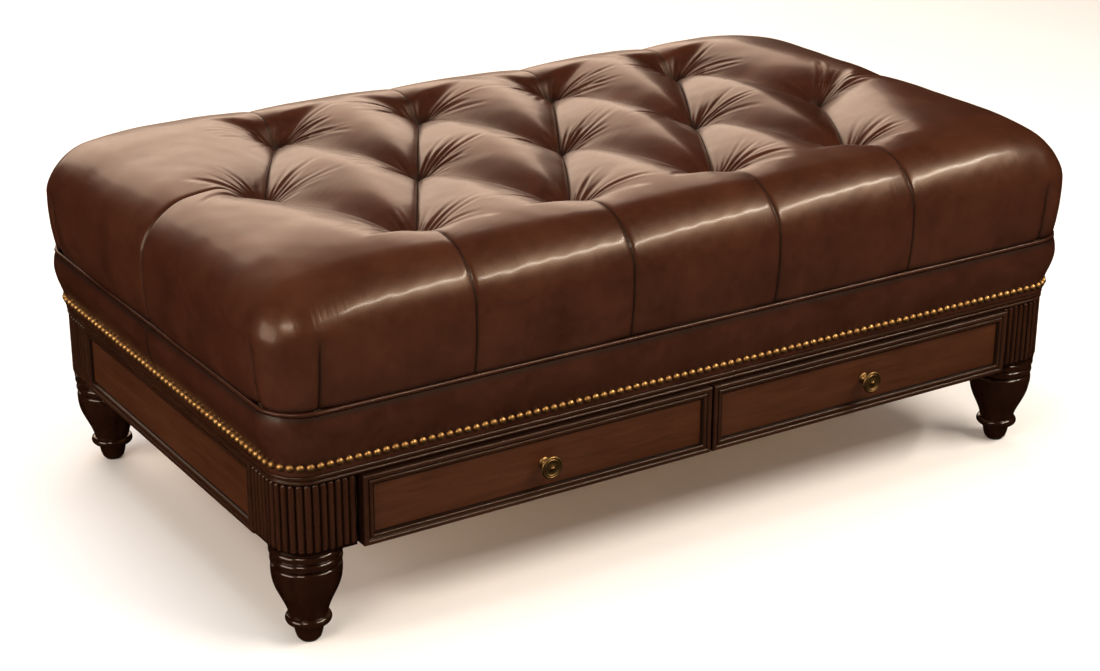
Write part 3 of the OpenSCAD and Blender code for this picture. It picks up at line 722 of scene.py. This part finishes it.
def leather_band():
    belly = -CASE_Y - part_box("band_front")[0].y
    rows = 18
    profile = [(0.5 * MM, band_low), (2.2 * MM, band_low)]
    foot = NAIL_Z + 4 * MM
    profile += [(2.9 * MM, band_low + 2 * MM), (NAIL_OUT, NAIL_Z - 4 * MM), (NAIL_OUT, NAIL_Z)]
    for i in range(rows + 1):
        t = i / rows
        profile.append((NAIL_OUT + (belly - NAIL_OUT) * math.sin(math.radians(136 * t ** 1.15)),
                        foot + (band_top - 0.4 * MM - foot) * t))
    profile += [(0.5 * MM, band_top - 0.4 * MM)]
    stations = ring_stations(CASE_X, CASE_Y, CORNER_R, 4.2 * MM)
    piece = make_piece("leather_band", sweep(profile, stations), CASE, "leather",
                       ["band_front", "band_rear"], creased_leather, sharp=60)
    mesh = piece.data
    points = read_points(mesh)
    inner = np.column_stack([np.clip(points[:, 0], -CASE_X + CORNER_R, CASE_X - CORNER_R),
                             np.clip(points[:, 1], -CASE_Y + CORNER_R, CASE_Y - CORNER_R)])
    out = points[:, :2] - inner
    reach = np.linalg.norm(out, axis=1)
    out /= reach[:, None]
    depth = reach - CORNER_R
    face = smoothstep(1.0 * MM, 2.4 * MM, depth)
    angle = np.arctan2(out[:, 1], out[:, 0])
    along = np.where(np.abs(out[:, 0]) > 0.999, points[:, 1],
                     np.where(np.abs(out[:, 1]) > 0.999, points[:, 0], angle * CORNER_R))
    height = (points[:, 2] - NAIL_Z) / (band_top - NAIL_Z)
    belly_zone = np.sin(np.clip(height, 0, 1) * math.pi)
    move = waves(points, 0.22, 3) * 1.0 * MM * belly_zone
    puckers = np.cos(along * math.tau / (nail_loop / NAIL_COUNT)) * np.exp(-((height - 0.07) / 0.16) ** 2)
    move += puckers * 0.35 * MM + waves(points * [1, 1, 0.3], 0.028, 5) * 0.22 * MM * belly_zone
    seam = (np.abs(points[:, 0]) > CASE_X - CORNER_R) * np.exp(-(points[:, 1] / (2.4 * MM)) ** 2)
    move -= seam * 1.3 * MM
    points[:, :2] += out * (move * face)[:, None]
    write_points(mesh, points)
    # painted shade under the piping, along the nail line and in the seam's groove
    tuck = smoothstep(0.86, 1.0, height) * 0.8 + np.exp(-((height - 0.06) / 0.05) ** 2) * 0.45
    store(mesh, "crease", np.clip(tuck + seam * 0.9, 0, 1))
    store(mesh, "rubbed", np.clip(belly_zone * 0.35 + waves(points, 0.12, 9) * 0.2, 0, 1))


leather_band()

# %% [markdown]
# ## Piping
# The piping is a cord sewn into a strip of leather. It is a thin ring swept round the
# case, and its line wanders by a fraction of a millimetre, as sewn piping does.

# %% The piping
def piping():
    profile = arc_points(WELT_OUT, WELT_Z, WELT_R, 0, 330, 11)
    stations = ring_stations(CASE_X, CASE_Y, CORNER_R, 14 * MM)
    piece = make_piece("welt_piping", sweep(profile, stations), CASE, "leather", ["welt_cord"],
                       creased_leather, sharp=0)
    points = read_points(piece.data)
    points[:, 2] += waves(points * [1, 1, 0], 0.16, 21) * 0.35 * MM
    write_points(piece.data, points)
    # painted shade, an even touch over the piping between cushion and band
    store(piece.data, "crease", np.full(len(points), 0.15))
    store(piece.data, "rubbed", np.full(len(points), 0.25))


piping()

# %% [markdown]
# ## Nails
# Three hundred nail heads stand shoulder to shoulder. Each is a small dome of few faces,
# copied round the line and tipped a little, because no two are driven quite alike.

# %% The nails
def nail_heads():
    bm = bmesh.new()
    rise = 4.0 * MM
    for i in range(NAIL_COUNT):
        place, heading = outline_point((i + 0.5) * nail_loop / NAIL_COUNT, CASE_X + NAIL_OUT,
                                       CASE_Y + NAIL_OUT, CORNER_R + NAIL_OUT)
        dome = bmesh.ops.create_uvsphere(bm, u_segments=12, v_segments=10, radius=NAIL_R)["verts"]
        bmesh.ops.delete(bm, geom=[v for v in dome if v.co.z < -0.3 * NAIL_R], context="VERTS")
        dome = [v for v in dome if v.is_valid]
        bmesh.ops.scale(bm, vec=(1, 1, rise / NAIL_R), verts=dome)
        tip = Matrix.Rotation(rng.normal(0, 0.05), 4, "X") @ Matrix.Rotation(rng.normal(0, 0.05), 4, "Y")
        seat = Matrix.Translation((*place, NAIL_Z + rng.normal(0, 0.15) * MM))
        turn = Matrix.Rotation(heading, 4, "Z") @ Matrix.Rotation(math.pi / 2, 4, "Y")
        bmesh.ops.transform(bm, matrix=seat @ turn @ tip, verts=dome)
    return make_piece("nail_heads_domed", bm, CASE, "nail_brass", ["nail_heads"], sharp=0)


nail_heads()

# %% [markdown]
# ## The buttoned cushion
# Thirteen buttons pull a padded cover deep into the foam. Seen from above they stand in a
# staggered grid. Between neighbours of different rows the spare hide folds into a valley,
# and from each outer button a sewn pleat runs over the edge to the piping. The hide
# between the valleys is blown up by the foam, and fine creases fan out of every button.
#
# The mesh starts as a dense grid with a skirt, is wrapped round a rounded block, and is
# then cut finer near buttons and seams. The valleys are laid in with distances: how far a
# point is from the nearest fold, and how far along it. That keeps every fold exactly on
# the line between its two buttons, which a free simulation would not.

# %% The cushion's plan
buttons_low, buttons_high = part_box("tuft_buttons")
BUTTON_R = 10 * MM
TOP_Z = cover_high.z + 9 * MM
BUTTON_Z = buttons_low.z
PIT = TOP_Z - BUTTON_Z - 1 * MM
SKIRT_Z = cover_low.z
HALF_X, HALF_Y = cover_high.x, cover_high.y
ROLL = 66 * MM
CROWN, CROWN_W = 25 * MM, 165 * MM
FOLD_DEEP, FOLD_END, FOLD_WIDE = 27 * MM, 21 * MM, 112 * MM
PLEAT_FALL, PLEAT_END, PLEAT_WIDE = 3.5 * MM, 9 * MM, 85 * MM


def button_centres():
    """The middle of every button in the frame, found by gathering its corners."""
    groups = []
    for vert in frame["nodes"]["tuft_buttons"].data.vertices:
        spot = tuple(vert.co.xy)
        near = [g for g in groups if math.dist(g[0], spot) < 3 * BUTTON_R]
        if near:
            near[0].append(spot)
        else:
            groups.append([spot])
    spans = [[(min(axis) + max(axis)) / 2 for axis in zip(*group)] for group in groups]
    return sorted((round(x, 4), round(y, 4)) for x, y in spans)


BUTTONS = button_centres()
middle_row = [b for b in BUTTONS if abs(b[1]) < BUTTON_R]
outer_rows = [b for b in BUTTONS if abs(b[1]) > BUTTON_R]
PITCH_X = middle_row[1][0] - middle_row[0][0]
FOLDS = [(m, o) for m in middle_row for o in outer_rows if abs(m[0] - o[0]) < 0.75 * PITCH_X]
print(len(BUTTONS), "buttons,", len(FOLDS), "folds between them, pitch", round(PITCH_X, 3))

# %% The grid, wrapped round a block
def cushion_grid(cell):
    """A flat grid with a skirt, as dense as cell, over the cushion's box."""
    bm = bmesh.new()
    nx, ny = round(2 * HALF_X / cell), round(2 * HALF_Y / cell)
    bmesh.ops.create_grid(bm, x_segments=nx, y_segments=ny, size=1)
    bmesh.ops.scale(bm, vec=(HALF_X, HALF_Y, 1), verts=bm.verts)
    bmesh.ops.translate(bm, vec=(0, 0, TOP_Z), verts=bm.verts)
    rows = round((TOP_Z - SKIRT_Z) / cell)
    edges = [e for e in bm.edges if e.is_boundary]
    for _ in range(rows):
        grown = bmesh.ops.extrude_edge_only(bm, edges=edges)["geom"]
        edges = [g for g in grown if isinstance(g, bmesh.types.BMEdge) and g.is_boundary]
        verts = [g for g in grown if isinstance(g, bmesh.types.BMVert)]
        bmesh.ops.translate(bm, vec=(0, 0, (SKIRT_Z - TOP_Z) / rows), verts=verts)
    return bm


def nearest_on(p, start, end):
    """From 2D points to a segment: distance, side, share along it, how far past its ends."""
    axis = np.subtract(end, start)
    length = np.linalg.norm(axis)
    axis = axis / length
    rel = p - start
    along = rel @ axis
    t = np.clip(along / length, 0, 1)
    gap = rel - np.outer(t * length, axis)
    side = rel[:, 0] * axis[1] - rel[:, 1] * axis[0]
    past = np.clip(np.maximum(-along, along - length), 0, None)
    return np.linalg.norm(gap, axis=1), side, t, past


def refine(bm, near, cuts=1):
    """Cuts the edges whose middle satisfies near(x, y, z)."""
    edges = list(bm.edges)
    middles = np.array([(e.verts[0].co + e.verts[1].co) / 2 for e in edges])
    chosen = near(middles)
    bmesh.ops.subdivide_edges(bm, edges=[e for e, c in zip(edges, chosen) if c], cuts=cuts,
                              use_grid_fill=True)


def pleat_lines():
    """Sewn pleats over the edge: (start, end) in plan, from an outer button outwards."""
    lines = [((x, y), (x, math.copysign(HALF_Y + 10 * MM, y))) for x, y in outer_rows]
    for sx in (-1, 1):
        lines.append((middle_row[0 if sx < 0 else -1], (sx * (HALF_X + 10 * MM), 0.0)))
    return lines


PLEATS = pleat_lines()


def darts():
    """Sewn darts at both ends of each rounded corner: (x, y) of the line they stand on."""
    spots = []
    for sx, sy in CORNERS:
        spots.append((sx * (HALF_X - ROLL + 2 * MM), sy * HALF_Y))
        spots.append((sx * HALF_X, sy * (HALF_Y - ROLL + 2 * MM)))
    return spots


def near_folds(middles, reach):
    plan = middles[:, :2]
    hit = np.zeros(len(plan), bool)
    for start, end in FOLDS + PLEATS:
        hit |= nearest_on(plan, start, end)[0] < reach
    low = middles[:, 2] < SKIRT_Z + 130 * MM
    for x, y in darts():
        hit |= low & (np.hypot(plan[:, 0] - x, plan[:, 1] - y) < reach)
    return hit


def near_buttons(middles, reach):
    hit = np.zeros(len(middles), bool)
    for x, y in BUTTONS:
        hit |= np.hypot(middles[:, 0] - x, middles[:, 1] - y) < reach
    return hit & (middles[:, 2] > TOP_Z - 60 * MM)


# %% [markdown]
# ### From the block to the buttoned shape
# `cushion_shape` is the whole cushion in one function: it takes points on the box, wraps
# them round a block with rolled edges and presses the folds in. Heights are worked out as
# depths below the block, and where two folds meet the deeper one wins softly.

# %% Pressing the folds in
def wrap(points):
    """Points on the box, moved onto a block with rolled edges, and their normals."""
    low = np.array([-HALF_X + ROLL, -HALF_Y + ROLL, SKIRT_Z - 1])
    high = np.array([HALF_X - ROLL, HALF_Y - ROLL, TOP_Z - ROLL])
    core = np.clip(points, low, high)
    normal = points - core
    normal /= np.linalg.norm(normal, axis=1)[:, None]
    wrapped = core + normal * ROLL
    crown = 0
    for axis, half in ((0, HALF_X), (1, HALF_Y)):
        crown = crown + CROWN * np.clip(1 - (half - np.abs(wrapped[:, axis])) / CROWN_W, 0, 1) ** 2
    wrapped[:, 2] -= crown * (wrapped[:, 2] - SKIRT_Z) / (TOP_Z - SKIRT_Z)
    return wrapped, normal


def soft_max(depths, sharpness):
    """The deepest of several depths, blended where two are close, and nought where all are."""
    stack = np.array(depths) * sharpness
    return np.log1p(np.expm1(stack).sum(axis=0)) / sharpness


def fold_depths(plan):
    """Depth of the valleys, and the painted shade along folds, pleats and round the pits."""
    depths = []
    crease = np.zeros(len(plan))
    for start, end in FOLDS:
        gap, side, t, past = nearest_on(plan, start, end)
        sharp = (end[0] - start[0]) * (end[1] - start[1]) > 0
        along = FOLD_DEEP + FOLD_END * np.abs(2 * t - 1) ** 2.4
        rounding = 2 * MM if sharp else 9 * MM
        soft_gap = np.sqrt(gap ** 2 + rounding ** 2) - rounding
        width = FOLD_WIDE - 52 * MM * smoothstep(0, 32 * MM, past)
        dome = np.clip(1 - soft_gap / width, 0, 1) ** 2
        depths.append(along * dome)
        bite = np.exp(-gap / (3.0 * MM)) * (1.0 if sharp else 0.28 + 0.5 * np.abs(2 * t - 1) ** 3)
        depths[-1] = depths[-1] + 4.2 * MM * bite
        if sharp:
            lip = np.where(side > 0, np.exp(-gap / (9 * MM)), 0) * np.sin(math.pi * t) ** 0.5
            depths[-1] = np.clip(depths[-1] - 2.6 * MM * lip, 0, None)
        # painted shade along the fold line, strong on the sharp folds, faint on the soft ones
        crease = np.maximum(crease, np.exp(-(gap / (1.3 * MM)) ** 2) * (0.95 if sharp else 0.3))
    for (x0, y0), (x1, y1) in [(a, b) for a in outer_rows for b in outer_rows]:
        if abs(y0 - y1) < MM and 0 < x1 - x0 < 1.5 * PITCH_X:
            gap, side, t, past = nearest_on(plan, (x0, y0), (x1, y1))
            dome = np.exp(-(gap / (46 * MM)) ** 2)
            depths.append((1 * MM + 15 * MM * np.abs(2 * t - 1) ** 2.6) * dome)
    for start, end in PLEATS:
        gap, side, t, past = nearest_on(plan, start, end)
        run = t * math.dist(start, end)
        fall = PLEAT_FALL + PLEAT_END * np.exp(-run / (26 * MM))
        dome = np.clip(1 - gap / PLEAT_WIDE, 0, 1) ** 2.2
        depths.append(fall * dome + 3.2 * MM * np.exp(-gap / (2.0 * MM)))
        strong = np.where(t > 0.02, 0.95, 0.6)
        # painted shade along each pleat
        crease = np.maximum(crease, np.exp(-(gap / (1.5 * MM)) ** 2) * strong)
    for x, y in BUTTONS:
        r = np.hypot(plan[:, 0] - x, plan[:, 1] - y)
        outward_share = np.clip((plan[:, 1] - y) * np.sign(round(y, 3)) / (r + MM), 0, 1)
        breadth = (30 - 13 * outward_share) * MM
        depths.append(PIT * np.exp(-(r / breadth) ** 1.35))
        # painted shade round each button's pit
        crease = np.maximum(crease, np.exp(-(r / (15 * MM)) ** 3) * 0.9)
    return soft_max(depths, 260), crease


# %% [markdown]
# ### Creases that fan out of the buttons
# Hide that is gathered under a button bunches up in short straight creases. Each one is a
# narrow valley with a soft ridge on both sides, drawn by its distance from a ray that
# leaves the button. Creases keep clear of the big folds, and those that would run over
# the cushion's edge stay short. A seeded generator varies them, the same way every time.

# %% The creases
def fold_headings(x, y):
    """The directions in which folds and pleats leave the button at (x, y)."""
    headings = []
    for start, end in FOLDS + PLEATS:
        for here, there in ((start, end), (end, start)):
            if math.dist(here, (x, y)) < MM:
                headings.append(math.atan2(there[1] - y, there[0] - x))
    return headings


def fans(plan):
    """Creases that run out of each button: narrow valleys that widen and die away."""
    total = np.zeros(len(plan))
    for i, (x, y) in enumerate(BUTTONS):
        maker = np.random.default_rng(100 + i)
        near = np.flatnonzero(np.hypot(plan[:, 0] - x, plan[:, 1] - y) < 140 * MM)
        dx, dy = plan[near, 0] - x, plan[near, 1] - y
        r, angle = np.hypot(dx, dy), np.arctan2(dy, dx)
        taken = fold_headings(x, y)
        heading = maker.uniform(0, 0.2)
        while heading < math.tau:
            heading += maker.uniform(0.10, 0.24)
            sideways = abs(math.cos(heading))
            length = maker.uniform(48, 92) * (0.75 + 0.65 * sideways) * MM
            size = maker.uniform(0.8, 2.0) * (0.75 + 0.5 * sideways) * MM
            curl, breadth = maker.uniform(-0.22, 0.22), maker.uniform(0.8, 1.3)
            outward_run = math.sin(heading) * np.sign(y) if abs(y) > BUTTON_R else -math.sin(heading)
            if outward_run > 0.35:
                length, size = length * 0.42, size * 0.7
            if min(abs(math.remainder(heading - h, math.tau)) for h in taken) < 0.13:
                continue
            run = (r - 9 * MM) / length
            off = np.remainder(angle - heading - curl * run + math.pi, math.tau) - math.pi
            across = np.abs(off) * r / (breadth * (1.2 + 2.6 * np.clip(run, 0, 1)) * MM)
            strength = np.clip(run, 0, 1) ** 0.5 * np.clip(1 - run, 0, 1) ** 1.3 * 2.1
            valley = 0.45 * np.exp(-((across - 2.1) / 1.1) ** 2) - np.exp(-across ** 2)
            total[near] += size * strength * valley
    return total


# %% The whole shape
def cushion_shape(points):
    """The finished place, painted crease shade and depth of every point on the box."""
    wrapped, normal = wrap(points)
    plan = wrapped[:, :2]
    outside = np.maximum(np.abs(plan[:, 0]) - (HALF_X - ROLL), np.abs(plan[:, 1]) - (HALF_Y - ROLL))
    side_drop = np.clip((TOP_Z - ROLL - wrapped[:, 2]) / (TOP_Z - ROLL - SKIRT_Z), 0, 1)
    depth, crease = fold_depths(plan)
    on_side = smoothstep(-10 * MM, 50 * MM, outside)
    depth *= 1 - 0.25 * on_side * side_drop
    depth -= fans(plan) * (1 - on_side)
    depth -= waves(wrapped, 0.30, 31) * 1.6 * MM + waves(wrapped, 0.07, 33) * 0.35 * MM
    tuck = side_drop ** 3 * 6.5 * MM
    belly = 1.2 * MM * np.sin(side_drop * math.pi)
    for x, y in darts():
        gap = np.hypot(plan[:, 0] - x, plan[:, 1] - y)
        rise = smoothstep(0.02, 0.45, side_drop)
        depth += rise * (4.2 * MM * np.exp(-gap / (4.0 * MM)) + 3.0 * MM * np.exp(-(gap / (17 * MM)) ** 2))
        # painted shade along each dart
        crease = np.maximum(crease, rise * np.exp(-(gap / (1.6 * MM)) ** 2) * 0.9)
    depth += tuck - belly
    # painted shade at the cushion's foot, where it tucks in above the piping
    crease = np.maximum(crease, smoothstep(0.93, 1.0, side_drop) * 0.7)
    return wrapped - normal * depth[:, None], crease, depth


# %% The cushion
def cushion():
    bm = cushion_grid(5 * MM)
    refine(bm, lambda m: near_folds(m, 11 * MM) | near_buttons(m, 112 * MM))
    refine(bm, lambda m: near_folds(m, 4.5 * MM) | near_buttons(m, 46 * MM))
    rim = [e for e in bm.edges if e.is_boundary]
    bmesh.ops.contextual_create(bm, geom=rim)
    bmesh.ops.recalc_face_normals(bm, faces=bm.faces)
    piece = make_piece("tufted_cushion", bm, CASE, "leather", ["tufted_cover", "foam_pad"],
                       creased_leather, sharp=0)
    points, crease, depth = cushion_shape(read_points(piece.data))
    write_points(piece.data, points)
    rubbed = np.clip(1 - depth / (16 * MM), 0, 1) * (0.6 + 0.4 * waves(points, 0.15, 41))
    # painted shade: the deepest parts of the pits darkened on top of the crease shade
    store(piece.data, "crease", np.clip(crease + smoothstep(34 * MM, 60 * MM, depth) * 0.5, 0, 1))
    store(piece.data, "rubbed", np.clip(rubbed, 0, 1))
    patches = 0.35 + 0.65 * smoothstep(-0.35, 0.45, waves(points, 0.11, 51))
    shoulder = np.exp(-((points[:, 2] - (SKIRT_Z + 112 * MM)) / (24 * MM)) ** 2) * patches
    at_front = smoothstep(HALF_Y - 85 * MM, HALF_Y - 30 * MM, np.abs(points[:, 1]))
    at_ends = smoothstep(HALF_X - 85 * MM, HALF_X - 30 * MM, np.abs(points[:, 0]))
    store(piece.data, "gather_front", shoulder * at_front)
    store(piece.data, "gather_ends", shoulder * at_ends * (1 - at_front))
    return piece


cushion()

# %% [markdown]
# ### Buttons
# Each button is a dome covered in the same hide, sunk to the bottom of its pit.

# %% The buttons
def cover_buttons():
    bm = bmesh.new()
    height = buttons_high.z - buttons_low.z
    for x, y in BUTTONS:
        dome = bmesh.ops.create_uvsphere(bm, u_segments=24, v_segments=12, radius=BUTTON_R)["verts"]
        bmesh.ops.scale(bm, vec=(1, 1, height / 2 / BUTTON_R), verts=dome)
        bmesh.ops.translate(bm, vec=(x, y, BUTTON_Z + height / 2), verts=dome)
    piece = make_piece("tuft_buttons_covered", bm, CASE, "leather", ["tuft_buttons"],
                       creased_leather, sharp=0)
    count = len(piece.data.vertices)
    # painted shade, even over the buttons at the bottom of their pits
    store(piece.data, "crease", np.full(count, 0.25))
    store(piece.data, "rubbed", np.full(count, 0.2))


cover_buttons()

# %% [markdown]
# ## Floor, lights and camera
# A pale floor and a nearly white room keep the leather's own colour. A wide warm light
# from behind brings the sheen over the buttoned top, and a long thin one in front draws the
# highlight along the rolled edge. Dark leather would go grey if it mirrored the floor, so
# floor and room are hidden from glossy rays, as black flags would do in a studio. The plain
# view transform keeps deep browns as deep as they are mixed.

# %% The floor
def floor():
    bm = bmesh.new()
    bmesh.ops.create_grid(bm, x_segments=1, y_segments=1, size=14)
    mesh = bpy.data.meshes.new("floor")
    bm.to_mesh(mesh)
    bm.free()
    paint = Paint("pale_floor")
    speck = paint.noise(paint.place(), 3, 2)
    mesh.materials.append(paint.finish(base_color=paint.mix(speck, (0.88, 0.88, 0.88), (0.92, 0.92, 0.92)),
                                       roughness=0.9))
    obj = bpy.data.objects.new("floor", mesh)
    bpy.context.scene.collection.objects.link(obj)
    obj.visible_glossy = False


floor()

# %% The lights
def area_light(name, place, target, size, power, colour, mirrored=True):
    data = bpy.data.lights.new(name, "AREA")
    data.shape = "RECTANGLE"
    data.size, data.size_y = size
    data.energy = power
    data.color = colour
    lamp = bpy.data.objects.new(name, data)
    lamp.location = place
    lamp.visible_glossy = mirrored
    lamp.rotation_euler = (Vector(target) - Vector(place)).to_track_quat("-Z", "Y").to_euler()
    bpy.context.scene.collection.objects.link(lamp)


area_light("back_window", (0.7, 3.4, 1.95), (0, 0, 0.45), (4.3, 2.5), 112, (1.0, 0.74, 0.56))
area_light("front_strip", (1.5, -2.0, 2.4), (0.2, -0.35, 0.45), (2.6, 0.06), 105, (1.0, 0.88, 0.74))
area_light("corner_spot", (-1.9, -1.45, 1.8), (-0.6, -0.35, 0.42), (0.75, 0.25), 17, (1.0, 0.84, 0.68))
area_light("left_fill", (-3.6, -0.3, 1.3), (0, 0, 0.3), (2.2, 1.6), 74, (1.0, 0.85, 0.72))
area_light("top_soft", (-0.4, 0.2, 3.0), (0, 0, 0.35), (2.4, 1.6), 56, (0.92, 0.96, 1.0), False)

world = bpy.data.worlds.new("room")
bpy.context.scene.world = world
world.use_nodes = True
world.node_tree.nodes["Background"].inputs["Color"].default_value = (1.0, 0.98, 0.96, 1)
world.node_tree.nodes["Background"].inputs["Strength"].default_value = 0.34
world.cycles_visibility.glossy = False
bpy.context.scene.view_settings.view_transform = "Standard"

# %% The camera
AZIMUTH, ELEVATION, ROLL_ANGLE = math.radians(-32.485), math.radians(21.619), 0.003
back = Vector((math.sin(AZIMUTH) * math.cos(ELEVATION), -math.cos(AZIMUTH) * math.cos(ELEVATION),
               math.sin(ELEVATION)))
right = (-back).cross(Vector((0, 0, 1))).normalized()
up = right.cross(-back)
level = Matrix((right, up, back)).transposed()
turned = level @ Matrix.Rotation(ROLL_ANGLE, 3, "Z")
lens = bpy.data.cameras.new("camera")
lens.lens, lens.sensor_width = 72.9, 36
lens.shift_x, lens.shift_y = 0.0033, -0.0006
camera = bpy.data.objects.new("camera", lens)
camera.matrix_world = Matrix.Translation((-1.6476, -2.5517, 1.3831)) @ turned.to_4x4()
bpy.context.scene.collection.objects.link(camera)
bpy.context.scene.camera = camera
